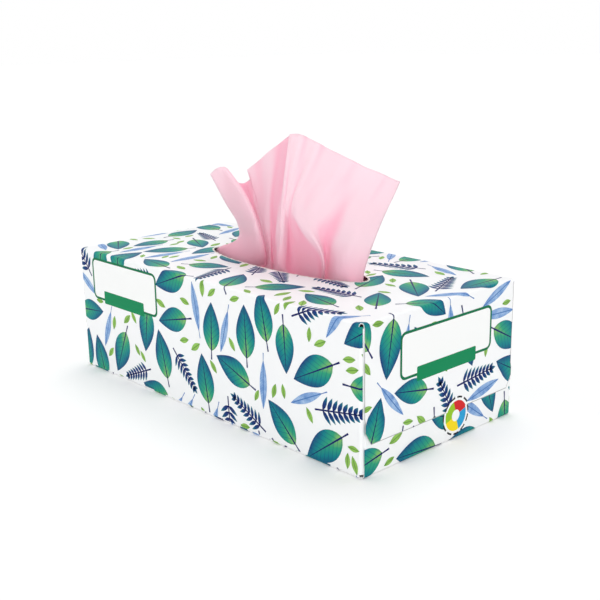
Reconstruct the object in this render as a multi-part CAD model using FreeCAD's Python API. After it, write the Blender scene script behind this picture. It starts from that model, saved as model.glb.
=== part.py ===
"""Carton of facial tissues with an oval slot in its top, the stack of folded sheets inside it
and the one sheet that is pulled up through the slot.

Millimetres. X runs along the carton, Y runs from its front panel to its back panel, +Z is up.
The origin is at the centre of the underside.
"""
import FreeCAD
import Part
import math
import os

V = FreeCAD.Vector

# Carton
LENGTH = 225.0
WIDTH = 110.0
HEIGHT = 71.0
BOARD = 0.45
BEND_RADIUS = 1.3
LAP_TAB_WIDTH = 14.0
LAP_TAB_SHORTER = 3.0

# End closure: side flaps innermost, then the bottom flap, then the top flap outside
SIDE_FLAP_GAP = 8.0
SIDE_FLAP_REACH = (WIDTH - SIDE_FLAP_GAP) / 2
SIDE_FLAP_INSET = 2.2
BOTTOM_FLAP_EDGE_Z = 25.5
TOP_FLAP_EDGE_Z = 15.2
TOP_FLAP_STEP_Z = BOTTOM_FLAP_EDGE_Z + 2.5
FLAP_INSET = 1.6
FLAP_CORNER_CUT = 4.0
FLAP_ROOT = 3.8

# Slot in the top panel
SLOT_LENGTH = 117.0
SLOT_WIDTH = 31.0
SLOT_CENTRE_X = 4.5

# Stack of sheets, sized by the room in the carton
END_ROOM = 9.5
SIDE_ROOM = 4.0
HEADROOM = 11.0
STACK_LENGTH = LENGTH - 2 * END_ROOM
STACK_WIDTH = WIDTH - 2 * SIDE_ROOM
STACK_TOP_Z = HEIGHT - HEADROOM
STACK_EDGE_RADIUS = 3.0

# Pulled sheet
SHEET_THICKNESS = 0.5
PANELS_ACROSS = 60
PANELS_UP = 13
LYING_LENGTH = STACK_LENGTH - 10.0
LYING_HALF_WIDTH = STACK_WIDTH / 2 - 3.0


def flap_mask(edge_z, root_z, inset, cut):
    """Outline of a flap seen from the end: full width at its fold, its free corners cut off."""
    half = WIDTH / 2 - inset
    step = cut if edge_z > root_z else -cut
    pts = [
        V(0, -half, root_z),
        V(0, -half + 0.3 * cut, edge_z - 1.6 * step),
        V(0, -half + cut, edge_z),
        V(0, half - cut, edge_z),
        V(0, half - 0.3 * cut, edge_z - 1.6 * step),
        V(0, half, root_z),
    ]
    face = Part.Face(Part.makePolygon(pts + [pts[0]]))
    return face.extrude(V(LENGTH, 0, 0))


def bent_strip(corner, centre, start, far, inward, step_out):
    """Section of a flap that leaves its panel, turns the corner and runs along the end.

    Written in X and a second axis w, which the caller maps to Z or Y. corner is the panel's
    outer face in w, inward is +1 or -1 into the box, centre is the outer face of the flap in X,
    start is where the strip begins on the panel and far is where the flap stops in w.
    step_out is None or the w pair between which the flap steps out by one board.
    """
    r_out = BEND_RADIUS
    r_in = BEND_RADIUS - BOARD
    c = (centre - r_out, corner + inward * r_out)
    mid = math.sqrt(0.5)
    outer_mid = (c[0] + mid * r_out, c[1] - inward * mid * r_out)
    inner_mid = (c[0] + mid * r_in, c[1] - inward * mid * r_in)
    outer = [(centre, c[1])]
    if step_out:
        outer += [(centre, step_out[0]), (centre + BOARD, step_out[1]), (centre + BOARD, far)]
    else:
        outer += [(centre, far)]
    inner = [(x - BOARD, w) for x, w in outer]
    return {
        "outer_line": [(start, corner), (c[0], corner)],
        "outer_arc": [(c[0], corner), outer_mid, outer[0]],
        "down": outer + inner[::-1],
        "inner_arc": [inner[0], inner_mid, (c[0], corner + inward * BOARD)],
        "inner_line": [(c[0], corner + inward * BOARD), (start, corner + inward * BOARD)],
        "close": [(start, corner + inward * BOARD), (start, corner)],
    }


def strip_face(section, to_3d):
    edges = []
    for name, pts in section.items():
        spots = [to_3d(x, w) for x, w in pts]
        if name.endswith("arc"):
            edges.append(Part.Arc(*spots).toShape())
        else:
            edges += [Part.makeLine(a, b) for a, b in zip(spots, spots[1:])]
    return Part.Face(Part.Wire(Part.__sortEdges__(edges)))


def end_closure():
    """The flaps of the +X end. The glued layers lie face to face."""
    start = LENGTH / 2 - 2 * BOARD - BEND_RADIUS - FLAP_ROOT
    layer = LENGTH / 2 - BOARD
    step_out = (TOP_FLAP_STEP_Z, BOTTOM_FLAP_EDGE_Z)
    top = bent_strip(HEIGHT, layer, start, TOP_FLAP_EDGE_Z, -1, step_out)
    top = strip_face(top, lambda x, w: V(x, -WIDTH / 2, w)).extrude(V(0, WIDTH, 0))
    top = top.common(flap_mask(TOP_FLAP_EDGE_Z, HEIGHT, FLAP_INSET, FLAP_CORNER_CUT))
    low = bent_strip(0.0, layer, start, BOTTOM_FLAP_EDGE_Z, 1, None)
    low = strip_face(low, lambda x, w: V(x, -WIDTH / 2, w)).extrude(V(0, WIDTH, 0))
    low = low.common(flap_mask(BOTTOM_FLAP_EDGE_Z, 0.0, FLAP_INSET, FLAP_CORNER_CUT))
    flaps = [top, low]
    for side in (-1, 1):
        wall = side * WIDTH / 2
        reach = side * (WIDTH / 2 - SIDE_FLAP_REACH)
        flap = bent_strip(wall, layer - BOARD, start, reach, -side, None)
        flap = strip_face(flap, lambda x, w: V(x, w, SIDE_FLAP_INSET))
        flaps.append(flap.extrude(V(0, 0, HEIGHT - 2 * SIDE_FLAP_INSET)))
    return flaps


def rounded_bar(width, height, radius, length, low_z):
    bar = Part.makeBox(length, width, height, V(-length / 2, -width / 2, low_z))
    along = [e for e in bar.Edges if abs(e.tangentAt(e.FirstParameter).x) > 0.99]
    return bar.makeFillet(radius, along)


def slot_cutter():
    centre = V(SLOT_CENTRE_X, 0, HEIGHT - 2 * BOARD)
    ring = Part.Ellipse(centre, SLOT_LENGTH / 2, SLOT_WIDTH / 2)
    return Part.Face(Part.Wire(ring.toShape())).extrude(V(0, 0, 4 * BOARD))


def make_carton():
    tube_length = LENGTH - 2 * (2 * BOARD + BEND_RADIUS)
    tube = rounded_bar(WIDTH, HEIGHT, BEND_RADIUS, tube_length, 0.0)
    inside = rounded_bar(
        WIDTH - 2 * BOARD, HEIGHT - 2 * BOARD, BEND_RADIUS - BOARD, LENGTH, BOARD
    )
    tube = tube.cut(inside)
    tab_length = tube_length - 2 * LAP_TAB_SHORTER
    tab_place = V(-tab_length / 2, WIDTH / 2 - 2 * BOARD, BOARD)
    tab = Part.makeBox(tab_length, BOARD, LAP_TAB_WIDTH, tab_place)
    ends = end_closure()
    ends += [f.mirror(V(0, 0, 0), V(1, 0, 0)) for f in ends]
    carton = tube.fuse([tab] + ends).removeSplitter()
    return carton.cut(slot_cutter()).Solids[0]


def make_stack():
    height = STACK_TOP_Z - BOARD
    return rounded_bar(STACK_WIDTH, height, STACK_EDGE_RADIUS, STACK_LENGTH, BOARD).Solids[0]


# The pulled sheet hangs between fold lines. Each line runs from the stack up to the free edge as
# points x, y and height above the stack, and the lines go from the sheet's left edge to its right.
FOLD_LINES = {
    "left_edge": [
        (-53, 0, 0.25), (-50, 1, 10), (-33, 1, 19), (-31, -3, 28),
        (-33, -7, 37), (-37, -11, 47), (-40, -14, 55),
    ],
    "ear_swell": [
        (-46, -2, 0.25), (-21, -8, 11), (-7, -12, 24), (-4, -15, 33),
        (-9, -17, 43), (-17, -19, 51), (-24, -22, 61),
    ],
    "ear_fold": [
        (-39, -1, 0.25), (-3, -6, 9), (0, -9, 22), (-2, -11, 32),
        (-4, -13, 42), (-10, -16, 52), (-21, -18, 62),
    ],
    "behind_ear": [
        (-32, 2, 0.25), (-14, 5, 5), (-18, 6, 16), (-23, 6, 25),
        (-29, 6, 34), (-36, 7, 40), (-43, 8, 46),
    ],
    "notch": [
        (-25, 0, 0.25), (-9, 1, 6), (-12, 2, 17), (-19, 4, 27),
        (-25, 6, 36), (-28, 8, 44), (-32, 10, 52),
    ],
    "left_corner": [
        (-18, -2, 0.25), (-4, -3, 8), (-6, -2, 19), (-13, 1, 28),
        (-20, 4, 37), (-32, 9, 47), (-39, 12, 55),
    ],
    "mid_swell": [
        (-11, 2, 0.25), (2, -7, 9), (1, -6, 21), (-2, -4, 31),
        (-7, -1, 44), (-13, 4, 57), (-16, 6, 66),
    ],
    "shadow_fold": [
        (-4, -2, 0.25), (-10, 5, 4), (-10, 6, 16), (-8, 6, 28),
        (-6, 6, 41), (0, 4, 61), (6, 1, 77),
    ],
    "main_fold": [
        (3, 1, 0.25), (9, -10, 10), (13, -12, 21), (14, -12, 33),
        (16, -12, 45), (18, -10, 65), (20, -8, 81),
    ],
    "beside_main": [
        (10, 1, 0.25), (4, -3, 8), (7, -4, 19), (13, -8, 32),
        (19, -11, 46), (21, -9, 65), (24, -7, 81),
    ],
    "recess": [
        (17, -2, 0.25), (2, 5, 5), (6, 3, 18), (9, -2, 31),
        (18, -9, 44), (25, -7, 65), (30, -6, 79),
    ],
    "inner_pleat": [
        (24, -1, 0.25), (23, -4, 8), (19, -1, 19), (9, 2, 30),
        (19, -9, 43), (28, -6, 65), (34, -5, 77),
    ],
    "slant_fold": [
        (31, 2, 0.25), (36, -6, 10), (42, -10, 23), (30, -12, 34),
        (23, -11, 44), (35, -6, 65), (40, -4, 75),
    ],
    "open_panel": [
        (38, 0, 0.25), (32, 1, 7), (41, -6, 22), (37, -9, 35),
        (35, -8, 47), (45, -4, 63), (50, -1, 71),
    ],
    "lobe_valley": [
        (45, -2, 0.25), (28, 8, 5), (32, 6, 17), (40, 0, 34),
        (43, 0, 46), (52, 2, 60), (58, 4, 67),
    ],
    "lobe": [
        (52, 2, 0.25), (50, -6, 11), (52, -7, 23), (55, -3, 36),
        (56, 2, 48), (60, 7, 57), (63, 10, 63),
    ],
    "lobe_side": [
        (59, -2, 0.25), (58, -3, 11), (59, -3, 23), (60, 1, 35),
        (62, 7, 47), (64, 11, 54), (66, 14, 60),
    ],
    "right_edge": [
        (66, 0, 0.25), (61, 0, 11), (63, 3, 25), (65, 7, 36),
        (66, 12, 46), (67, 15, 52), (68, 18, 58),
    ],
}
SHARP_LINES = ("left_corner", "main_fold", "slant_fold")


def sheet_normals(grid):
    """Unit normals of a grid of points, by central differences."""
    rows = len(grid)
    cols = len(grid[0])
    out = []
    for i in range(rows):
        line = []
        for j in range(cols):
            along = grid[min(i + 1, rows - 1)][j] - grid[max(i - 1, 0)][j]
            up = grid[i][min(j + 1, cols - 1)] - grid[i][max(j - 1, 0)]
            normal = along.cross(up)
            if j == 0:
                normal.z = 0.0
            line.append(normal.normalize())
        out.append(line)
    return out


def knots(count):
    spans = count - 2
    return [3] + [1] * (spans - 1) + [3], [float(k) for k in range(spans + 1)]


def drape(lines):
    """Points of a soft surface that is drawn to the fold lines, as rows of one panel each."""
    u_mults, u_knots = knots(len(lines))
    v_mults, v_knots = knots(len(lines[0]))
    soft = Part.BSplineSurface()
    soft.buildFromPolesMultsKnots(lines, u_mults, v_mults, u_knots, v_knots, False, False, 2, 2)
    u_end = u_knots[-1]
    v_end = v_knots[-1]
    return [
        [soft.value(u_end * i / PANELS_ACROSS, v_end * j / PANELS_UP) for j in range(PANELS_UP + 1)]
        for i in range(PANELS_ACROSS + 1)
    ]


def panels(grid):
    """Two flat triangles for each cell of a grid of points."""
    out = []
    for left, right in zip(grid, grid[1:]):
        for j in range(len(left) - 1):
            for corners in (
                (left[j], right[j], right[j + 1]),
                (left[j], right[j + 1], left[j + 1]),
            ):
                out.append(Part.Face(Part.makePolygon(list(corners) + [corners[0]])))
    return out


def lying_half():
    """The half that still lies on the stack, folded back on itself along its back edge."""
    across = V(-LYING_LENGTH / 2, -LYING_HALF_WIDTH, STACK_TOP_Z)
    lower = Part.makeBox(LYING_LENGTH, 2 * LYING_HALF_WIDTH, SHEET_THICKNESS, across)
    across = V(-LYING_LENGTH / 2, 0, STACK_TOP_Z + SHEET_THICKNESS)
    upper = Part.makeBox(LYING_LENGTH, LYING_HALF_WIDTH, SHEET_THICKNESS, across)
    return lower.fuse(upper).removeSplitter()


def make_pulled_sheet():
    lines = []
    for name, line in FOLD_LINES.items():
        places = [V(x, y, STACK_TOP_Z + rise) for x, y, rise in line]
        lines += [places, places] if name in SHARP_LINES else [places]
    front = drape(lines)
    rear = [
        [p - n * SHEET_THICKNESS for p, n in zip(line, lean)]
        for line, lean in zip(front, sheet_normals(front))
    ]
    faces = panels(front) + panels(rear)
    for end in (0, -1):
        faces += panels([front[end], rear[end]])
        faces += panels([[line[end] for line in front], [line[end] for line in rear]])
    shell = Part.makeShell(faces)
    shell.sewShape()
    hanging = Part.makeSolid(shell)
    if hanging.Volume < 0:
        hanging.reverse()
    return hanging.fuse(lying_half()).Solids[0]


def main():
    os.makedirs("parts", exist_ok=True)
    nodes = {
        "carton": make_carton(),
        "tissue_stack": make_stack(),
        "pulled_sheet": make_pulled_sheet(),
    }
    for name, shape in nodes.items():
        print(name, shape.ShapeType, len(shape.Solids), shape.isValid(), round(shape.Volume, 1))
        shape.exportStep("parts/" + name + ".step")


main()
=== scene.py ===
"""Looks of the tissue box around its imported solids: print, labels, torn slot edge and soft sheet.

Blender works in metres here. Sizes below are millimetres, and mm() turns them into metres.
The frame is the part's: X along the carton, Y from front to back, +Z up, origin under its middle.
"""
import math
import random

import bpy
import numpy as np
from mathutils import Matrix, Vector


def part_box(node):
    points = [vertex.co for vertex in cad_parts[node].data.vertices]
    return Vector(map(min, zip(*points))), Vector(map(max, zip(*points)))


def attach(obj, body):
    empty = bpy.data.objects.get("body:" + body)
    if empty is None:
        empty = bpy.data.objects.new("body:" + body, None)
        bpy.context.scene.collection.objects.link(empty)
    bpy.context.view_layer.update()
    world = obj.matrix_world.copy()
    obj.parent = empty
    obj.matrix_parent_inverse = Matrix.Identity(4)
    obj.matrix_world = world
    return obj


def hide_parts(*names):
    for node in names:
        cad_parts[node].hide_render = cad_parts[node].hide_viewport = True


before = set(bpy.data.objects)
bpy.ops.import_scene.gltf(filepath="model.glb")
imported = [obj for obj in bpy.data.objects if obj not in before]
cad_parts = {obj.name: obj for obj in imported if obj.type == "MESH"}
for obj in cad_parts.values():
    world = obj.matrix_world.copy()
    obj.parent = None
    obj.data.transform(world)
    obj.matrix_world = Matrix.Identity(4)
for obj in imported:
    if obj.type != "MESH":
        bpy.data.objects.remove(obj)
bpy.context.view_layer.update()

MM = 0.001

# Carton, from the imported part, with the board and bend of its source
low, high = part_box("carton")
LENGTH = (high.x - low.x) / MM
WIDTH = (high.y - low.y) / MM
HEIGHT = (high.z - low.z) / MM
BOARD = 0.45
BEND = 1.3
ARC = BEND * math.pi / 2
FLAP_INSET = 1.6
FLAP_CUT = 4.0
FLAP_CUT_RISE = 1.6 * FLAP_CUT
FLAP_CUT_SLANT = 0.6
TOP_FLAP_EDGE_Z = 15.2
UNDER_FLAP_EDGE_Z = 25.5
JOG_TOP_Z = 28.0

# Slot
SLOT_X = 4.5
SLOT_HALF_LENGTH = 58.5
SLOT_HALF_WIDTH = 15.5

# Heights of the print layers above the board
INK = 0.04
INK_STEP = 0.003
INK_STEPS = 8
CUT_EDGE_AND_GAP_SHADE = 0.06
LABEL = 0.07
LAYER = 0.02


def mm(*xyz):
    return tuple(c * MM for c in xyz)


def srgb(r, g, b):
    """Linear colour of a screen colour of 0 to 255."""
    out = []
    for c in (r, g, b):
        c /= 255.0
        out.append(c / 12.92 if c <= 0.04045 else ((c + 0.055) / 1.055) ** 2.4)
    return (*out, 1.0)


WHITE = (1.0, 1.0, 1.0, 1.0)
NAVY = srgb(10, 22, 96)
DEEP_BLUE = srgb(14, 60, 120)
TEAL = srgb(0, 128, 136)
SEA_GREEN = srgb(44, 160, 120)
LIME = srgb(150, 200, 96)
PERIWINKLE = srgb(132, 168, 216)
STEEL_BLUE = srgb(72, 120, 186)
PALE_BLUE = srgb(172, 200, 232)
LEAF_GREEN = srgb(138, 184, 84)
MOSS = srgb(96, 146, 62)
LABEL_GREEN = srgb(10, 112, 72)
STRIP_GREEN = srgb(0, 134, 84)
BOARD_WHITE = srgb(249, 250, 251)
TORN_WHITE = srgb(240, 236, 228)
TISSUE = srgb(254, 234, 240)
# Deeper pink of the pulled sheet: painted shade in its hollows and low down towards the slot
TISSUE_PAINTED_SHADE = srgb(255, 184, 207)


class Shader:
    """Small helper that wires node materials."""

    def __init__(self, name, roughness=0.5, specular=0.12):
        self.material = bpy.data.materials.new(name)
        self.material.use_nodes = True
        self.tree = self.material.node_tree
        self.bsdf = self.tree.nodes["Principled BSDF"]
        self.bsdf.inputs["Roughness"].default_value = roughness
        self.bsdf.inputs["Specular IOR Level"].default_value = specular

    def put(self, socket, value):
        if isinstance(value, bpy.types.NodeSocket):
            self.tree.links.new(value, socket)
        else:
            socket.default_value = value

    def math(self, op, a, b=0.0, c=0.0):
        node = self.tree.nodes.new("ShaderNodeMath")
        node.operation = op
        for socket, value in zip(node.inputs, (a, b, c)):
            self.put(socket, value)
        return node.outputs[0]

    def mix(self, factor, a, b):
        node = self.tree.nodes.new("ShaderNodeMix")
        node.data_type = "RGBA"
        self.put(node.inputs["Factor"], factor)
        self.put(node.inputs["A"], a)
        self.put(node.inputs["B"], b)
        return node.outputs["Result"]

    def ramp(self, factor, *stops):
        node = self.tree.nodes.new("ShaderNodeValToRGB")
        points = node.color_ramp.elements
        while len(points) < len(stops):
            points.new(0.5)
        for point, (place, colour) in zip(points, stops):
            point.position = place
            point.color = colour
        self.put(node.inputs[0], factor)
        return node.outputs[0]

    def noise(self, scale, detail):
        node = self.tree.nodes.new("ShaderNodeTexNoise")
        node.inputs["Scale"].default_value = scale
        node.inputs["Detail"].default_value = detail
        self.put(node.inputs["Vector"], self.place())
        return node.outputs["Fac"]

    def bump(self, height, strength, distance, under=None):
        """A fine relief, laid over another one where under is given."""
        node = self.tree.nodes.new("ShaderNodeBump")
        node.inputs["Strength"].default_value = strength
        node.inputs["Distance"].default_value = distance
        self.put(node.inputs["Height"], height)
        if under is not None:
            self.put(node.inputs["Normal"], under)
        return node.outputs[0]

    def place(self):
        return self.tree.nodes.new("ShaderNodeTexCoord").outputs["Object"]

    def along_across(self):
        """A motif's own coordinates: 0 to 1 along it, and millimetres across it."""
        uv = self.tree.nodes.new("ShaderNodeUVMap")
        uv.uv_map = "motif"
        split = self.tree.nodes.new("ShaderNodeSeparateXYZ")
        self.put(split.inputs[0], uv.outputs[0])
        return split.outputs[0], self.math("ABSOLUTE", split.outputs[1])

    def line(self, value, pitch, share):
        """1 on thin lines that repeat each pitch of value, else 0."""
        part = self.math("FRACT", self.math("DIVIDE", value, pitch))
        return self.math("LESS_THAN", part, share)

    def colour(self, value):
        self.put(self.bsdf.inputs["Base Color"], value)
        return self.material


def plain(name, colour, roughness=0.5, specular=0.12):
    shader = Shader(name, roughness, specular)
    shader.bsdf.inputs["Base Color"].default_value = colour
    return shader.material


def broad_leaf_paint():
    s = Shader("broad_leaf_ink", 0.45)
    along, across = s.along_across()
    tone = s.math("ADD", s.math("MULTIPLY", along, 0.72), s.math("MULTIPLY", across, 0.055))
    tone = s.math("ADD", tone, s.math("MULTIPLY", s.noise(180.0, 3.0), 0.22))
    tone = s.math("SUBTRACT", tone, 0.11)
    body = s.ramp(
        tone, (0.0, LIME), (0.3, SEA_GREEN), (0.58, TEAL), (0.8, DEEP_BLUE), (1.0, NAVY)
    )
    slant = s.math("SUBTRACT", s.math("MULTIPLY", along, 27.0), s.math("MULTIPLY", across, 0.9))
    vein = s.math("MULTIPLY", s.line(slant, 3.1, 0.13), 0.55)
    body = s.mix(vein, body, DEEP_BLUE)
    rib = s.math("LESS_THAN", across, s.math("MULTIPLY_ADD", along, -0.38, 0.5))
    return s.colour(s.mix(rib, body, NAVY))


def sprig_paint():
    s = Shader("sprig_ink", 0.45)
    along = s.along_across()[0]
    tone = s.math("ADD", along, s.math("MULTIPLY", s.noise(200.0, 2.0), 0.3))
    tone = s.math("SUBTRACT", tone, 0.15)
    return s.colour(s.ramp(tone, (0.0, NAVY), (0.55, DEEP_BLUE), (1.0, TEAL)))


def willow_paint():
    s = Shader("willow_ink", 0.45)
    along, across = s.along_across()
    body = s.ramp(
        s.noise(240.0, 3.0), (0.3, PALE_BLUE), (0.55, PERIWINKLE), (0.8, STEEL_BLUE)
    )
    slant = s.math("SUBTRACT", s.math("MULTIPLY", along, 28.0), across)
    body = s.mix(s.math("MULTIPLY", s.line(slant, 1.5, 0.25), 0.35), body, STEEL_BLUE)
    rib = s.math("LESS_THAN", across, 0.26)
    return s.colour(s.mix(rib, body, STEEL_BLUE))


def leaflet_paint():
    s = Shader("leaflet_ink", 0.45)
    across = s.along_across()[1]
    body = s.ramp(s.noise(300.0, 2.0), (0.3, LIME), (0.55, LEAF_GREEN), (0.85, MOSS))
    return s.colour(s.mix(s.math("LESS_THAN", across, 0.2), body, MOSS))


# Motifs. Each is a list of small polygons of points (along, across, u, v), all in millimetres but
# u, which runs from 0 to 1 along the motif.
def blade(length, half_width, waist, start, steps):
    """A pointed leaf: two rows of cells beside its rib. waist is where it is widest."""
    fullness = 0.9
    least_width = 0.02
    power = math.log(0.5) / math.log(waist)
    cells = []
    rows = []
    for k in range(steps + 1):
        t = k / steps
        swell = math.sin(math.pi * t**power) ** fullness
        rows.append((start + t * length, max(least_width, half_width * swell), t))
    for (a0, w0, t0), (a1, w1, t1) in zip(rows, rows[1:]):
        for side in (-1, 1):
            cell = [(a0, 0, t0, 0), (a1, 0, t1, 0), (a1, side * w1, t1, w1), (a0, side * w0, t0, w0)]
            cells.append(cell)
    return cells


def stem(start, end, half_width):
    end_width = half_width * 0.6
    return [
        [
            (start, -half_width, 0.0, 0.0),
            (end, -end_width, 0.0, 0.0),
            (end, end_width, 0.0, 0.0),
            (start, half_width, 0.0, 0.0),
        ]
    ]


def turned(cells, angle, at):
    """The cells turned about their start and moved to a place along the motif's own rib."""
    c = math.cos(angle)
    s = math.sin(angle)
    return [
        [(at[0] + a * c - b * s, at[1] + a * s + b * c, u, v) for a, b, u, v in cell]
        for cell in cells
    ]


def broad_leaf(size):
    return stem(-4.5, 0.6, 0.5) + blade(27.0 * size, 7.0 * size, 0.42, 0.0, 14)


def sprig(size):
    """Narrow leaflets in pairs along a stem, shorter towards the tip."""
    cells = stem(-3.0, 25.0 * size, 0.45)
    pairs = 8
    first_at = 2.0
    run = 22.0
    longest = 7.6
    shortening = 3.6
    widest_lean = 58
    closing = 14
    for k in range(pairs):
        t = k / (pairs - 1)
        reach = (longest - shortening * t) * size
        at = (first_at + run * t) * size
        for side in (-1, 1):
            leaf = blade(reach, 1.15 * size, 0.42, 0.0, 4)
            cells += turned(leaf, side * math.radians(widest_lean - closing * t), (at, 0.0))
    return cells + blade(6.0 * size, 1.1 * size, 0.5, 23.0 * size, 4)


def willow(size):
    return stem(-3.5, 0.5, 0.28) + blade(26.0 * size, 2.7 * size, 0.5, 0.0, 10)


def leaflet(size):
    return blade(8.5 * size, 1.7 * size, 0.5, 0.0, 6)


# The unfolded sheet: x along the carton, s around it. s starts at the foot of the front panel and
# goes up it, over the top, down the back and along the bottom to the front again.
SIDE_FLAT = HEIGHT - 2 * BEND
TOP_FLAT = WIDTH - 2 * BEND
TOP_START = SIDE_FLAT + ARC
BACK_START = TOP_START + TOP_FLAT + ARC
BOTTOM_START = BACK_START + SIDE_FLAT + ARC
GIRTH = BOTTOM_START + TOP_FLAT + ARC
TUBE_END = LENGTH / 2 - 2 * BOARD - BEND
FLAP_FOLD = LENGTH / 2 - BOARD - BEND
ARC_SPLITS = [k / 6 for k in range(7)]


def around(s):
    """Place y, z and outward direction of a point at s on the tube."""
    corner_y = WIDTH / 2 - BEND
    corner_z = HEIGHT - BEND
    runs = (
        (SIDE_FLAT, (-WIDTH / 2, BEND), (0, 1), (-1, 0), (-corner_y, corner_z)),
        (TOP_FLAT, (-corner_y, HEIGHT), (1, 0), (0, 1), (corner_y, corner_z)),
        (SIDE_FLAT, (WIDTH / 2, corner_z), (0, -1), (1, 0), (corner_y, BEND)),
        (TOP_FLAT, (corner_y, 0.0), (-1, 0), (0, -1), (-corner_y, BEND)),
    )
    for flat, start, run, out, centre in runs:
        if s <= flat:
            return (start[0] + run[0] * s, start[1] + run[1] * s), out
        s -= flat
        if s <= ARC:
            a = s / BEND
            way = (
                out[0] * math.cos(a) + run[0] * math.sin(a),
                out[1] * math.cos(a) + run[1] * math.sin(a),
            )
            return (centre[0] + BEND * way[0], centre[1] + BEND * way[1]), way
        s -= ARC
    return (-WIDTH / 2, BEND), (-1, 0)


def on_tube(x, s, lift):
    (y, z), (ny, nz) = around(min(max(s, 0.0), GIRTH))
    return mm(x, y + ny * lift, z + nz * lift)


def end_face_x(z):
    """The outer face of the end closure, which steps out over the under flap."""
    step = min(max((JOG_TOP_Z - z) / (JOG_TOP_Z - UNDER_FLAP_EDGE_Z), 0.0), 1.0)
    return LENGTH / 2 - BOARD + BOARD * step


def on_flap(panel):
    """Map for what runs over an end of one panel, at x beyond the tube."""

    def place(x, s, lift):
        side = math.copysign(1.0, x)
        beyond = abs(x) - (FLAP_FOLD if panel in ("top", "bottom") else TUBE_END)
        fold = abs(x) - beyond
        if beyond <= 0:
            return on_tube(x, s, lift)
        angle = min(beyond / BEND, math.pi / 2)
        down = BEND * (1 - math.cos(angle)) + max(0.0, beyond - ARC)
        out_x = fold + BEND * math.sin(angle) + lift * math.sin(angle)
        rise = lift * math.cos(angle)
        if panel == "top":
            z = HEIGHT - down
            out_x += max(0.0, end_face_x(z) - (LENGTH / 2 - BOARD))
            return mm(side * out_x, around(s)[0][0], z + rise)
        if panel == "bottom":
            return mm(side * out_x, around(s)[0][0], down - rise)
        z = around(s)[0][1]
        y = WIDTH / 2 - down + rise
        return mm(side * out_x, -y if panel == "front" else y, z)

    return place


def clip(poly, axis, limit, keep_below):
    """The part of a convex polygon on one side of a line across axis 0 (x) or 1 (s)."""
    sign = 1.0 if keep_below else -1.0
    return cut(poly, (sign, 0.0) if axis == 0 else (0.0, sign), sign * limit)


def cut(poly, normal, limit):
    """The part of a convex polygon where normal . point is at most limit."""
    out = []
    gap = [normal[0] * p[0] + normal[1] * p[1] - limit for p in poly]
    for i, p in enumerate(poly):
        q = poly[(i + 1) % len(poly)]
        a, b = gap[i], gap[(i + 1) % len(poly)]
        if a <= 0:
            out.append(p)
        if (a < 0 < b) or (b < 0 < a):
            t = a / (a - b)
            out.append(tuple(u + (v - u) * t for u, v in zip(p, q)))
    return out if len(out) > 2 else []


def split(polys, axis, values):
    for value in values:
        parts = []
        for poly in polys:
            span = [p[axis] for p in poly]
            if min(span) < value < max(span):
                parts += [clip(poly, axis, value, True), clip(poly, axis, value, False)]
            else:
                parts.append(poly)
        polys = [p for p in parts if p]
    return polys


def outside(poly, ring):
    """What is left of a polygon once a convex hole, a counter-clockwise ring, is taken out."""
    kept = []
    for (x0, y0), (x1, y1) in zip(ring, ring[1:] + ring[:1]):
        normal = (y1 - y0, x0 - x1)
        limit = normal[0] * x0 + normal[1] * y0
        beyond = cut(poly, (-normal[0], -normal[1]), -limit)
        if beyond:
            kept.append(beyond)
        poly = cut(poly, normal, limit)
        if not poly:
            break
    return kept


def regions():
    """Convex pieces of the unfolded sheet: (limits as (normal, limit), map, folds in x, folds in s)."""
    under_flap_gap = 0.1
    side_wrap = ARC * 0.9
    s_folds = [0.0, GIRTH]
    for start in (SIDE_FLAT, TOP_START + TOP_FLAT, BACK_START + SIDE_FLAT, BOTTOM_START + TOP_FLAT):
        s_folds += [start + ARC * k for k in ARC_SPLITS]
    tube = [((1, 0), TUBE_END), ((-1, 0), TUBE_END), ((0, 1), GIRTH), ((0, -1), 0.0)]
    out = [(tube, on_tube, [], s_folds)]
    half = WIDTH / 2 - FLAP_INSET
    for side in (-1, 1):
        for panel, start, edge in (
            ("top", TOP_START, HEIGHT - TOP_FLAP_EDGE_Z),
            ("bottom", BOTTOM_START, TOP_FLAP_EDGE_Z - under_flap_gap),
        ):
            middle = start + TOP_FLAT / 2
            far = FLAP_FOLD + ARC - BEND + edge
            limits = [
                ((-side, 0), -TUBE_END),
                ((side, 0), far),
                ((0, 1), middle + half),
                ((0, -1), half - middle),
            ]
            if panel == "top":
                for up in (-1, 1):
                    normal = (side * FLAP_CUT_SLANT, up)
                    limit = FLAP_CUT_SLANT * (far - FLAP_CUT_RISE) + up * middle + half
                    limits.append((normal, limit))
            jog = far + TOP_FLAP_EDGE_Z
            folds = [side * (FLAP_FOLD + ARC * k) for k in ARC_SPLITS]
            folds += [side * (jog - JOG_TOP_Z), side * (jog - UNDER_FLAP_EDGE_Z)]
            out.append((limits, on_flap(panel), folds, []))
        for panel, start in (("front", 0.0), ("back", BACK_START)):
            limits = [
                ((-side, 0), -TUBE_END),
                ((side, 0), TUBE_END + side_wrap),
                ((0, 1), start + SIDE_FLAT),
                ((0, -1), -start),
            ]
            folds = [side * (TUBE_END + ARC * k) for k in ARC_SPLITS[1:]]
            out.append((limits, on_flap(panel), folds, []))
    return out


class Sheet:
    """Collects polygons with motif coordinates and makes one mesh of them."""

    def __init__(self):
        self.points = []
        self.faces = []
        self.uvs = []
        self.slots = []

    def add(self, places, uvs, slot):
        start = len(self.points)
        self.points += places
        self.faces.append(list(range(start, start + len(places))))
        self.uvs += uvs
        self.slots.append(slot)

    def make(self, name, materials):
        mesh = bpy.data.meshes.new(name)
        mesh.from_pydata(self.points, [], self.faces)
        layer = mesh.uv_layers.new(name="motif")
        layer.data.foreach_set("uv", [c for uv in self.uvs for c in uv])
        for material in materials:
            mesh.materials.append(material)
        mesh.polygons.foreach_set("material_index", self.slots)
        mesh.validate()
        thing = bpy.data.objects.new(name, mesh)
        bpy.context.scene.collection.objects.link(thing)
        return thing


CARTON_MIDDLE = Vector((0.0, 0.0, HEIGHT * MM / 2))


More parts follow.
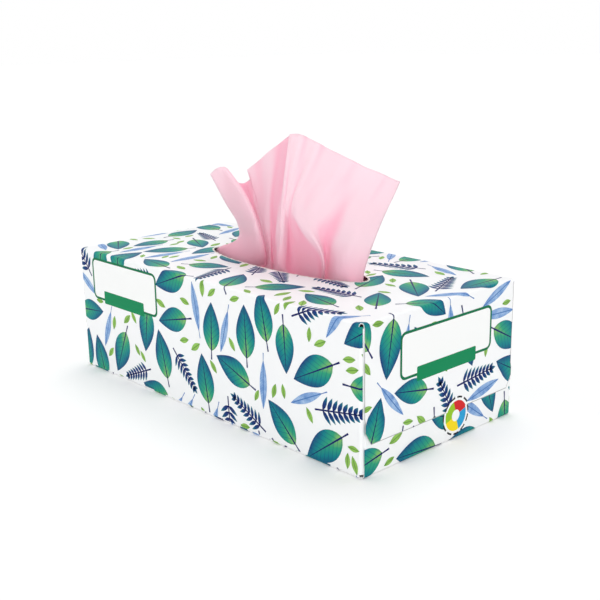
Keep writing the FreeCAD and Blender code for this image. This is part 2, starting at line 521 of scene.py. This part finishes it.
def faces_out(places):
    """True where a polygon's normal points away from the carton's middle."""
    centre = sum((Vector(p) for p in places), Vector()) / len(places)
    normal = sum(
        (
            (Vector(p) - centre).cross(Vector(q) - centre)
            for p, q in zip(places, places[1:] + places[:1])
        ),
        Vector(),
    )
    return normal.dot(centre - CARTON_MIDDLE) > 0


def slot_ring(extra):
    """Outline of the slot on the unfolded sheet, wider all round by extra."""
    count = 56
    middle = TOP_START + TOP_FLAT / 2
    return [
        (
            SLOT_X + (SLOT_HALF_LENGTH + extra) * math.cos(2 * math.pi * k / count),
            middle + (SLOT_HALF_WIDTH + extra) * math.sin(2 * math.pi * k / count),
        )
        for k in range(count)
    ]


# Scatter of the print. A motif keeps its room by circles along its rib, smaller at both ends.
SEED = 11
TRIES = 60
CIRCLES = 9
BLUNT_ENDS = 0.5
ROOM_BETWEEN = 0.3
PAST_ENDS = 62.0
PAST_SEAM = 6.0
UPRIGHT_SHARE = 0.55
SWAY = 24.0


def scatter(seed):
    """Motifs over the unfolded sheet: (kind, size, x, s, angle), thrown where there is room."""
    dice = random.Random(seed)
    kinds = (
        ("broad", 190, (-4.5, 27.0), 7.0, (0.86, 1.08)),
        ("sprig", 150, (-3.0, 29.0), 6.2, (0.85, 1.05)),
        ("willow", 240, (-3.5, 26.0), 2.8, (0.85, 1.12)),
        ("leaflet", 260, (0.0, 8.5), 1.8, (0.8, 1.2)),
    )
    half_span = LENGTH / 2 + PAST_ENDS
    taper = np.sin(np.linspace(BLUNT_ENDS, math.pi - BLUNT_ENDS, CIRCLES))
    taken = np.zeros((0, 3))
    out = []
    for kind, count, (back, front), radius, sizes in kinds:
        placed = 0
        for _ in range(count * TRIES):
            if placed == count:
                break
            x = dice.uniform(-half_span, half_span)
            s = dice.uniform(-PAST_SEAM, GIRTH + PAST_SEAM)
            size = dice.uniform(*sizes)
            upright = dice.random() < UPRIGHT_SHARE
            angle = dice.gauss(90.0 if upright else 0.0, SWAY) + dice.choice((0.0, 180.0))
            angle = math.radians(angle)
            way = (math.cos(angle), math.sin(angle))
            steps = np.linspace(back * size + 0.5 * radius, front * size - 0.5 * radius, CIRCLES)
            circles = np.stack(
                [x + way[0] * steps, s + way[1] * steps, radius * size * taper], axis=1
            )
            if len(taken):
                gap = np.hypot(
                    circles[:, None, 0] - taken[None, :, 0], circles[:, None, 1] - taken[None, :, 1]
                )
                need = circles[:, None, 2] + taken[None, :, 2] + ROOM_BETWEEN
                if (gap < need).any():
                    continue
            taken = np.vstack([taken, circles])
            out.append((kind, size, x, s, angle))
            placed += 1
    return out


def print_pattern():
    makers = {"broad": broad_leaf, "sprig": sprig, "willow": willow, "leaflet": leaflet}
    slots = {name: k for k, name in enumerate(makers)}
    parts = regions()
    bare_rim = 0.6
    hole = slot_ring(bare_rim)
    near_x = SLOT_HALF_LENGTH + 40.0
    near_s = SLOT_HALF_WIDTH + 36.0
    top_middle = TOP_START + TOP_FLAT / 2
    ink = Sheet()
    for count, (kind, size, x, s, angle) in enumerate(scatter(SEED)):
        lift = INK + INK_STEP * (count % INK_STEPS)
        near_hole = abs(x - SLOT_X) < near_x and abs(s - top_middle) < near_s
        for cell in turned(makers[kind](size), angle, (x, s)):
            for limits, place, x_folds, s_folds in parts:
                poly = cell
                for normal, limit in limits:
                    poly = cut(poly, normal, limit)
                    if not poly:
                        break
                if not poly:
                    continue
                polys = split(split([poly], 0, x_folds), 1, s_folds)
                if near_hole and place is on_tube:
                    polys = [p for q in polys for p in outside(q, hole)]
                for p in polys:
                    places = [place(q[0], q[1], lift) for q in p]
                    uvs = [(q[2], q[3]) for q in p]
                    if not faces_out(places):
                        places.reverse()
                        uvs.reverse()
                    ink.add(places, uvs, slots[kind])
    paints = [broad_leaf_paint(), sprig_paint(), willow_paint(), leaflet_paint()]
    return ink.make("printed_leaves", paints)


def rounded(width, height, radius, steps=6):
    """Points of a rounded rectangle about its middle."""
    out = []
    for k, (sx, sy) in enumerate(((1, 1), (-1, 1), (-1, -1), (1, -1))):
        for j in range(steps + 1):
            a = math.pi / 2 * (k + j / steps)
            out.append(
                (
                    sx * (width / 2 - radius) + radius * math.cos(a),
                    sy * (height / 2 - radius) + radius * math.sin(a),
                )
            )
    return out


def face_map(face):
    """Map from a face's own right and up to the carton, seen from outside."""
    spots = {
        "front": lambda u, z, lift: mm(u, -WIDTH / 2 - lift, z),
        "back": lambda u, z, lift: mm(-u, WIDTH / 2 + lift, z),
        "right": lambda u, z, lift: mm(end_face_x(z) + lift, u, z),
        "left": lambda u, z, lift: mm(-end_face_x(z) - lift, -u, z),
    }
    return spots[face]


def label(sheet, face, middle, size, strip_middle, strip_size):
    """A bare white panel with a green border, and a green strip over its lower edge."""
    spot = face_map(face)
    border = 1.3
    corner = 3.6
    inner_corner = 2.5
    strip_corner = 0.7
    layers = (
        (middle, size, corner, 0),
        (middle, (size[0] - 2 * border, size[1] - 2 * border), inner_corner, 1),
        (strip_middle, strip_size, strip_corner, 2),
    )
    for k, (centre, (w, h), radius, slot) in enumerate(layers):
        places = [
            spot(centre[0] + a, centre[1] + b, LABEL + k * LAYER) for a, b in rounded(w, h, radius)
        ]
        sheet.add(places, [(0.0, 0.0)] * len(places), slot)


def labels():
    """The same label on both long sides, and a like one on both ends."""
    sheet = Sheet()
    long_side = ((-68.2, 55.5), (62.5, 24.0), (-69.0, 45.6), (39.0, 7.4))
    end = ((2.8, 50.5), (66.5, 22.5), (2.5, 40.0), (43.0, 7.0))
    for face, places in (("front", long_side), ("right", end), ("back", long_side), ("left", end)):
        label(sheet, face, *places)
    paints = [
        plain("label_green_ink", LABEL_GREEN),
        plain("label_white_ink", srgb(250, 251, 250)),
        plain("strip_green_ink", STRIP_GREEN),
    ]
    return sheet.make("labels", paints)


def round_spot():
    """Disc in four fields of colour inside a dashed ring, low on the end face."""
    spot = face_map("right")
    centre = (10.0, 11.8)
    disc = 9.0
    field = (2.9, 7.7)
    field_turn = 0.3
    hub = 2.4
    ring = (8.9, 9.8)
    dashes = 11
    dash_steps = 3
    dash_step = 0.13
    steps = 40
    sheet = Sheet()

    def put(flat, lift, slot):
        for below in (True, False):
            poly = clip(flat, 1, TOP_FLAP_EDGE_Z, below)
            if poly:
                shift = -BOARD if below else 0.0
                places = [spot(p[0], p[1], lift + shift) for p in poly]
                if not faces_out(places):
                    places.reverse()
                sheet.add(places, [(0.0, 0.0)] * len(places), slot)

    def sector(r0, r1, a0, a1):
        out = [(r1, a0), (r1, a1), (r0, a1), (r0, a0)]
        return [(centre[0] + r * math.cos(a), centre[1] + r * math.sin(a)) for r, a in out]

    for k in range(steps):
        a0, a1 = (2 * math.pi * j / steps for j in (k, k + 1))
        put(sector(0.0, disc, a0, a1), LABEL, 0)
        put(sector(*field, a0 + field_turn, a1 + field_turn), LABEL + LAYER, 1 + k * 4 // steps)
        put(sector(0.0, hub, a0, a1), LABEL + LAYER, 0)
    for k in range(dashes):
        a0 = 2 * math.pi * k / dashes
        for j in range(dash_steps):
            put(sector(*ring, a0 + j * dash_step, a0 + (j + 1) * dash_step), LABEL + LAYER, 5)
    paints = [
        plain("spot_white_ink", srgb(250, 251, 250)),
        plain("spot_red_ink", srgb(214, 36, 40)),
        plain("spot_lime_ink", srgb(150, 200, 40)),
        plain("spot_yellow_ink", srgb(250, 222, 30)),
        plain("spot_blue_ink", srgb(40, 160, 214)),
        plain("spot_black_ink", srgb(30, 30, 34)),
    ]
    return sheet.make("round_spot", paints)


def cut_edges_and_gap_shade():
    """Grey strips along the end flaps' edges: bare board where the printed face stops short of the cut,
    and painted shade of the gaps and shadow lines there.
    """
    sheet = Sheet()
    wide = 0.35
    below_bend = 0.4
    half = WIDTH / 2 - FLAP_INSET
    slant_y = half - FLAP_CUT_SLANT * FLAP_CUT_RISE
    slant_z = TOP_FLAP_EDGE_Z + FLAP_CUT_RISE
    heights = (slant_z, UNDER_FLAP_EDGE_Z, JOG_TOP_Z, HEIGHT - BEND - below_bend)
    for face in ("right", "left"):
        spot = face_map(face)
        strips = [[(-slant_y, TOP_FLAP_EDGE_Z), (slant_y, TOP_FLAP_EDGE_Z)]]
        for side in (-1, 1):
            strips.append([(side * slant_y, TOP_FLAP_EDGE_Z), (side * half, slant_z)])
            strips += [[(side * half, a), (side * half, b)] for a, b in zip(heights, heights[1:])]
        for (y0, z0), (y1, z1) in strips:
            level = z0 == z1
            shift = (0.0, wide) if level else (-math.copysign(wide, y1), 0.0)
            outline = [(y0, z0), (y1, z1), (y1 + shift[0], z1 + shift[1]), (y0 + shift[0], z0 + shift[1])]
            places = [spot(y, z, CUT_EDGE_AND_GAP_SHADE) for y, z in outline]
            if not faces_out(places):
                places.reverse()
            sheet.add(places, [(0.0, 0.0)] * 4, 0)
    # Grey of the strips: bare cut board, and painted shade of the gap lines at the flap edges
    return sheet.make("cut_edges_and_gap_shade", [plain("cut_board_and_gap_shade", srgb(178, 180, 178), 0.9, 0.1)])


def torn_rim():
    """The ragged white edge left where the slot's panel was torn out along its perforation."""
    dice = random.Random(5)
    sheet = Sheet()
    count = 420
    pitch = 9
    tab_reach = 0.75
    lip = 0.15
    band = 0.55
    ragged = 0.5
    inner_lift = 0.03
    outer_lift = 0.05
    inner = []
    outer = []
    for k in range(count):
        tab = tab_reach if k % pitch in (0, 1) else 0.0
        inner.append(-lip - tab * dice.uniform(0.4, 1.0) - dice.uniform(0.0, lip))
        outer.append(band + dice.uniform(0.0, ragged))

    def at(k, extra, lift):
        a = 2 * math.pi * k / count
        return mm(
            SLOT_X + (SLOT_HALF_LENGTH + extra) * math.cos(a),
            (SLOT_HALF_WIDTH + extra) * math.sin(a),
            HEIGHT + lift,
        )

    for k in range(count):
        n = (k + 1) % count
        places = [
            at(k, inner[k], inner_lift),
            at(k, outer[k], outer_lift),
            at(n, outer[n], outer_lift),
            at(n, inner[n], inner_lift),
        ]
        sheet.add(places, [(0.0, 0.0)] * 4, 0)
    return sheet.make("torn_rim", [plain("torn_board", TORN_WHITE, 0.9, 0.2)])


# The pulled sheet. Each line runs from the stack up to the free edge, as points x, y and height
# above the stack, and the lines go from the sheet's left edge to its right edge.
FOLD_LINES = {
    "left_edge": [
        (-55, 0, 2), (-57, 0, 10), (-34, 1, 17.5), (-30, -3, 28),
        (-33, -7, 37), (-37, -11, 47), (-40, -14, 55.5),
    ],
    "ear_swell": [
        (-47, -2, 2), (-25.5, -8, 9.5), (-10, -10.5, 22.5), (-7.5, -13, 32),
        (-11.5, -15, 42), (-19, -17, 50.5), (-28, -19, 61),
    ],
    "ear_fold": [
        (-39, -1, 2), (-4, -6, 8.5), (-1, -9, 22), (-2.5, -11, 32),
        (-5, -13, 41.5), (-9.5, -16, 52), (-20, -18, 62),
    ],
    "behind_ear": [
        (-32, 2, 2), (-12.5, 3, 5.5), (-16.5, 4, 16.5), (-21, 4, 26),
        (-27.5, 5, 34), (-34, 6, 40), (-42, 8, 46),
    ],
    "notch": [
        (-25, 0, 2), (-8.5, 0, 6.5), (-12, 1, 17.5), (-18.5, 3, 27),
        (-23.5, 5, 36), (-28.5, 8, 44), (-31.5, 10, 52),
    ],
    "left_corner": [
        (-18, -2, 2), (-6, -2, 7.5), (-9, -1, 18.5), (-14.5, 1, 28.5),
        (-20.5, 4, 37), (-31.5, 9, 47), (-39, 12, 55.5),
    ],
    "mid_swell": [
        (-11, 2, 2), (-3, -4, 7.5), (-4, -4, 19), (-6.5, -3, 30),
        (-10, 0, 42.5), (-13.5, 4, 57.5), (-15, 6, 67),
    ],
    "shadow_fold": [
        (-4, -2, 2), (-6, 1, 5.5), (-5.5, 1, 17.5), (-4.5, 1, 29.5),
        (-3, 1, 42), (1, 1, 61), (7.5, -1, 77),
    ],
    "main_fold": [
        (3, 1, 2), (9, -10, 10), (12.5, -12, 21), (14, -12, 33),
        (16, -12, 45), (17.5, -10, 65), (19.5, -8, 80.5),
    ],
    "beside_main": [
        (10, 1, 2), (11, -8, 9.5), (14, -9, 20.5), (16, -10, 33),
        (18, -11.5, 45), (21, -9.4, 65.5), (25, -7.3, 81),
    ],
    "recess": [
        (17, -2, 2), (8.5, 2, 6), (7.5, 2, 17), (12, -4, 31),
        (19, -11, 44.5), (25.5, -8.5, 65), (30, -6.5, 79),
    ],
    "inner_pleat": [
        (24, -1, 2), (27.5, 1, 7), (27, 0, 19), (18, -4, 31.5),
        (20.5, -11, 44.5), (30, -7.5, 65), (35, -5.5, 77.5),
    ],
    "slant_fold": [
        (31, 2, 2), (42.5, -8, 10.5), (46, -12, 23.5), (33, -13, 35),
        (23, -10.5, 44), (36.5, -6.5, 65), (39.5, -4, 75),
    ],
    "open_panel": [
        (38, 0, 2), (32, 1, 7), (41, -6, 22.5), (37, -10, 35.5),
        (35.5, -8.5, 46.5), (45, -3.5, 63), (50, -1, 71),
    ],
    "lobe_valley": [
        (45, -2, 2), (30.5, 3, 5.5), (34.5, 1, 18), (42, -4, 35),
        (45, -3, 47), (52, 1, 60.5), (57.5, 3.5, 66.5),
    ],
    "lobe": [
        (52, 2, 2), (50.5, -6, 10.5), (52, -7, 22.5), (54.5, -3, 36),
        (55, 2, 47.5), (60, 6, 57), (63.5, 9, 63.5),
    ],
    "lobe_side": [
        (59, -2, 2), (59.5, -5, 11.5), (59, -3, 23), (60, 1, 35.5),
        (61, 7, 47), (64, 11, 54), (66, 14, 60.5),
    ],
    "right_edge": [
        (63, 0, 2), (60, 0, 11), (62.5, 3, 24.5), (64.5, 7, 35.5),
        (66, 12, 45.5), (67.5, 15, 52), (68.5, 18, 58.5),
    ],
}
# Lines that count twice, which makes a sharper fold there
SHARP_LINES = ("left_corner", "main_fold")
# Thickness of the soft sheet, and the part of it that lies on the stack
PLY = 0.3
LYING_HALF_LENGTH = 98.0
LYING_HALF_WIDTH = 48.0
LYING_TURN = 3


def soft_weights(count, samples):
    """Weights of quadratic spline points over count control points, clamped at both ends."""
    knots = [0.0] * 3 + [float(k) for k in range(1, count - 2)] + [count - 2.0] * 3
    places = np.linspace(0.0, count - 2.0, samples)
    table = np.zeros((samples, count))
    for row, t in enumerate(places):
        span = min(int(t), count - 3)
        base = [0.0] * (count + 2)
        base[span + 2] = 1.0
        for degree in (1, 2):
            fresh = [0.0] * (count + 2)
            for i in range(count + 2 - degree):
                left = knots[i + degree] - knots[i]
                right = knots[i + degree + 1] - knots[i + 1] if i + degree + 1 < len(knots) else 0
                if left:
                    fresh[i] += (t - knots[i]) / left * base[i]
                if right:
                    fresh[i] += (knots[i + degree + 1] - t) / right * base[i + 1]
            base = fresh
        table[row] = base[:count]
    return table


def sheet_lines():
    """Control points of the whole sheet: its half that lies on the stack, then the hanging one."""
    stack_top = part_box("tissue_stack")[1].z / MM
    first = stack_top + PLY / 2
    second = first + 2 * PLY
    lines = []
    count = len(FOLD_LINES)
    for k, (name, rises) in enumerate(FOLD_LINES.items()):
        line = [(x, y, stack_top + rise) for x, y, rise in rises]
        wide = LYING_HALF_LENGTH * (2 * k / (count - 1) - 1)
        base = line[0]
        lying = [
            (wide, -LYING_HALF_WIDTH, first),
            (wide, 0.0, first),
            (wide, LYING_HALF_WIDTH - LYING_TURN, first),
            (wide, LYING_HALF_WIDTH, (first + second) / 2),
            (wide, LYING_HALF_WIDTH - LYING_TURN, second),
            (0.8 * wide + 0.2 * base[0], 26.0, second),
            (0.4 * wide + 0.6 * base[0], 9.0, second + 0.3),
        ]
        lines += [lying + line] * (2 if name in SHARP_LINES else 1)
    return np.array(lines, float)


def fold_painted_shade(grid, normal):
    """Painted shade for the tissue, from 0 to 1: how deep each point lies in a hollow or down towards the
    slot.
    """
    reaches = (4, 9)
    hollow_full = 2.2
    hollow_most = 0.6
    low_start = 90.0
    low_full = 26.0
    low_most = 0.7
    painted_shade = np.zeros(grid.shape[:2])
    for reach in reaches:
        around_it = (np.roll(grid, reach, axis=0) + np.roll(grid, -reach, axis=0)) / 2
        hollow = ((around_it - grid) * normal).sum(axis=2)
        hollow[:reach] = 0.0
        hollow[-reach:] = 0.0
        painted_shade += np.clip(hollow / hollow_full, 0.0, hollow_most)
    painted_shade += np.clip((low_start - grid[:, :, 2]) / low_full, 0.0, low_most)
    return np.clip(painted_shade, 0.0, 1.0)


def pulled_sheet():
    """The soft tissue: a spline surface over the fold lines, with small creases above the slot."""
    lines = sheet_lines()
    across, up = 181, 150
    smooth_below = 72.0
    crease_run = 14.0
    crease_height = 0.7
    grid = np.einsum(
        "ia,jb,abc->ijc", soft_weights(lines.shape[0], across), soft_weights(lines.shape[1], up), lines
    )
    along = np.gradient(grid, axis=0)
    rise = np.gradient(grid, axis=1)
    normal = np.cross(along, rise)
    normal /= np.linalg.norm(normal, axis=2, keepdims=True) + 1e-9
    i, j = np.meshgrid(np.linspace(0, 1, across), np.linspace(0, 1, up), indexing="ij")
    crease = (
        0.35 * np.sin(61 * i + 9 * j + 2.0 * np.sin(7 * j))
        + 0.22 * np.sin(113 * i - 14 * j + 1.5 * np.sin(11 * j + 1))
        + 0.15 * np.sin(29 * i + 37 * j)
    )
    free = np.clip((grid[:, :, 2:] - smooth_below) / crease_run, 0.0, 1.0)
    grid = grid + normal * crease[:, :, None] * crease_height * free
    painted_shade = fold_painted_shade(grid, normal)
    points = (grid.reshape(-1, 3) * MM).tolist()
    faces = [
        (a * up + b, (a + 1) * up + b, (a + 1) * up + b + 1, a * up + b + 1)
        for a in range(across - 1)
        for b in range(up - 1)
    ]
    mesh = bpy.data.meshes.new("pulled_tissue")
    mesh.from_pydata(points, [], faces)
    mesh.polygons.foreach_set("use_smooth", [True] * len(faces))
    # The fold attribute holds painted shade: 0 on open paper, up to 1 in hollows and low down near the
    # slot
    mesh.attributes.new("fold", "FLOAT", "POINT").data.foreach_set("value", painted_shade.ravel())
    mesh.materials.append(tissue_paper())
    thing = bpy.data.objects.new("pulled_tissue", mesh)
    bpy.context.scene.collection.objects.link(thing)
    thick = thing.modifiers.new("ply", "SOLIDIFY")
    thick.thickness = PLY * MM
    thick.offset = 0.0
    return thing


def tissue_paper():
    """Thin soft paper: it passes some light, and has painted shade, a deeper pink in its folds and low
    down towards the slot.
    """
    s = Shader("pulled_tissue_paper", 0.95, 0.1)
    light_passed = 0.5
    # Painted shade: the fold attribute shifts the pink towards the deeper painted-shade pink
    fold = s.tree.nodes.new("ShaderNodeAttribute")
    fold.attribute_name = "fold"
    cloud = s.math("MULTIPLY", s.math("SUBTRACT", s.noise(55.0, 3.0), 0.5), 0.2)
    s.colour(s.mix(s.math("ADD", fold.outputs["Fac"], cloud), TISSUE, TISSUE_PAINTED_SHADE))
    grain = s.bump(s.noise(2600.0, 2.0), 0.12, 0.2 * MM)
    dimples = s.bump(s.noise(120.0, 3.0), 0.3, 0.9 * MM, grain)
    s.put(s.bsdf.inputs["Normal"], dimples)
    glow = s.tree.nodes.new("ShaderNodeBsdfTranslucent")
    s.put(glow.inputs["Color"], srgb(255, 238, 244))
    blend = s.tree.nodes.new("ShaderNodeMixShader")
    blend.inputs[0].default_value = light_passed
    s.put(blend.inputs[1], s.bsdf.outputs[0])
    s.put(blend.inputs[2], glow.outputs[0])
    out = s.tree.nodes["Material Output"]
    s.put(out.inputs["Surface"], blend.outputs[0])
    return s.material


def dress_carton():
    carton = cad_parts["carton"]
    carton.data.materials.clear()
    carton.data.materials.append(plain("coated_board", BOARD_WHITE, 0.42, 0.2))


def dress_stack():
    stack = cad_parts["tissue_stack"]
    stack.data.materials.clear()
    s = Shader("stacked_sheets", 0.95, 0.1)
    s.colour(TISSUE)
    wave = s.tree.nodes.new("ShaderNodeTexWave")
    wave.wave_type = "BANDS"
    wave.bands_direction = "Z"
    wave.inputs["Scale"].default_value = 420.0
    wave.inputs["Distortion"].default_value = 2.0
    s.put(wave.inputs["Vector"], s.place())
    s.put(s.bsdf.inputs["Normal"], s.bump(wave.outputs["Fac"], 0.6, 0.3 * MM))
    stack.data.materials.append(s.material)


def camera():
    """The photograph's viewpoint, found from the carton's corners."""
    place = (382.14, -340.81, 189.25)
    lens = 58.91
    eye = bpy.data.cameras.new("camera")
    eye.sensor_width = 36.0
    eye.lens = lens
    thing = bpy.data.objects.new("camera", eye)
    forward = Vector((-0.70681, 0.65654, -0.26337)).normalized()
    right = Vector((0.68369, 0.72960, -0.01606)).normalized()
    up = right.cross(forward)
    turn = Matrix((right, up, -forward)).transposed()
    thing.matrix_world = Matrix.Translation(mm(*place)) @ turn.to_4x4()
    bpy.context.scene.collection.objects.link(thing)
    bpy.context.scene.camera = thing


def lamp(name, azimuth, elevation, spread, level):
    """A wide soft lamp far away. level is how bright it alone lights a facing white surface."""
    light = bpy.data.lights.new(name, "SUN")
    light.angle = math.radians(spread)
    light.energy = level * math.pi
    thing = bpy.data.objects.new(name, light)
    a = math.radians(azimuth)
    e = math.radians(elevation)
    way = Vector((math.sin(a) * math.cos(e), -math.cos(a) * math.cos(e), math.sin(e)))
    thing.location = way
    thing.rotation_euler = way.to_track_quat("Z", "Y").to_euler()
    bpy.context.scene.collection.objects.link(thing)
    return thing


def seen(tree):
    """1 for what the camera, a reflection or a view through glass sees, 0 for what lights."""
    path = tree.nodes.new("ShaderNodeLightPath")
    value = path.outputs["Is Camera Ray"]
    for ray in ("Is Glossy Ray", "Is Transmission Ray"):
        most = tree.nodes.new("ShaderNodeMath")
        most.operation = "MAXIMUM"
        tree.links.new(value, most.inputs[0])
        tree.links.new(path.outputs[ray], most.inputs[1])
        value = most.outputs[0]
    return value


def floor_paint():
    """Pale matt floor. The little that it lacks to white is only seen, so shadows stay."""
    lack = 0.09
    s = Shader("floor_white", 0.95, 0.0)
    s.colour(srgb(250, 250, 250))
    s.put(s.bsdf.inputs["Emission Color"], WHITE)
    s.put(s.bsdf.inputs["Emission Strength"], s.math("MULTIPLY", seen(s.tree), lack))
    return s.material


def studio():
    """A pale floor, a soft sky and three wide lamps."""
    sky_level = 0.46
    reach = 6.0
    world = bpy.data.worlds.new("studio")
    bpy.context.scene.world = world
    world.use_nodes = True
    tree = world.node_tree
    soft = tree.nodes["Background"]
    soft.inputs["Strength"].default_value = sky_level
    soft.inputs["Color"].default_value = WHITE
    white = tree.nodes.new("ShaderNodeBackground")
    white.inputs["Color"].default_value = WHITE
    blend = tree.nodes.new("ShaderNodeMixShader")
    tree.links.new(seen(tree), blend.inputs[0])
    tree.links.new(soft.outputs[0], blend.inputs[1])
    tree.links.new(white.outputs[0], blend.inputs[2])
    tree.links.new(blend.outputs[0], tree.nodes["World Output"].inputs["Surface"])
    corners = [(-reach, -reach, 0), (reach, -reach, 0), (reach, reach, 0), (-reach, reach, 0)]
    mesh = bpy.data.meshes.new("floor")
    mesh.from_pydata(corners, [], [(0, 1, 2, 3)])
    mesh.materials.append(floor_paint())
    floor = bpy.data.objects.new("floor", mesh)
    bpy.context.scene.collection.objects.link(floor)
    lamps = [
        lamp("overhead", 205.0, 70.0, 52.0, 0.39),
        lamp("front", 58.0, 12.0, 60.0, 0.46),
        lamp("fill", -35.0, 10.0, 80.0, 0.22),
    ]


dress_carton()
dress_stack()
for piece in (print_pattern(), labels(), round_spot(), cut_edges_and_gap_shade(), torn_rim()):
    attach(piece, "root")
tissue = pulled_sheet()
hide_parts("pulled_sheet")
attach(tissue, "root")
studio()
camera()
bpy.context.scene.view_settings.view_transform = "Standard"
